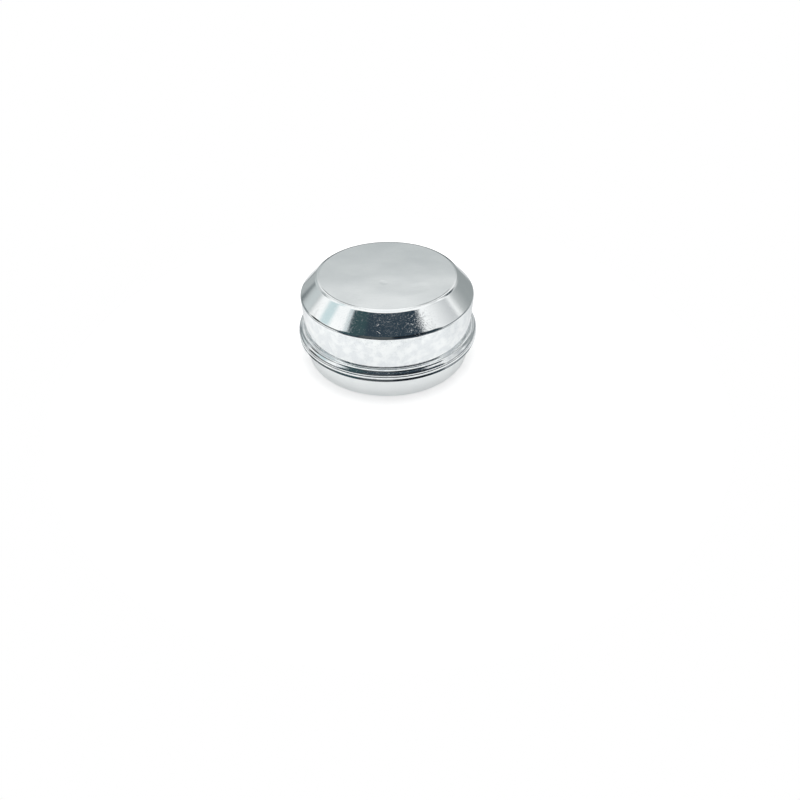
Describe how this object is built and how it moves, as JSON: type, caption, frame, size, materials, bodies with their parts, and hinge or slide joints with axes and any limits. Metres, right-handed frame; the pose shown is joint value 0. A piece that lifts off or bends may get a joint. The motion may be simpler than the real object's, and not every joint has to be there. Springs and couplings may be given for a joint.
{
  "type": "hub grease cap",
  "caption": "Pressed steel grease cap for a wheel hub: flat top, conical chamfer, round wall, stop bead and a press-in skirt, hollow and open below.",
  "frame": {"origin": "centre of the skirt's open lip", "axes": "+Z along the cap's axis, from the open lip to the flat top"},
  "size_m": [0.055, 0.055, 0.026],
  "materials": {
    "zinc_plated_steel": "bright zinc plating"
  },
  "bodies": {
    "root": {"grease_cap": "zinc_plated_steel"}
  },
  "joints": []
}
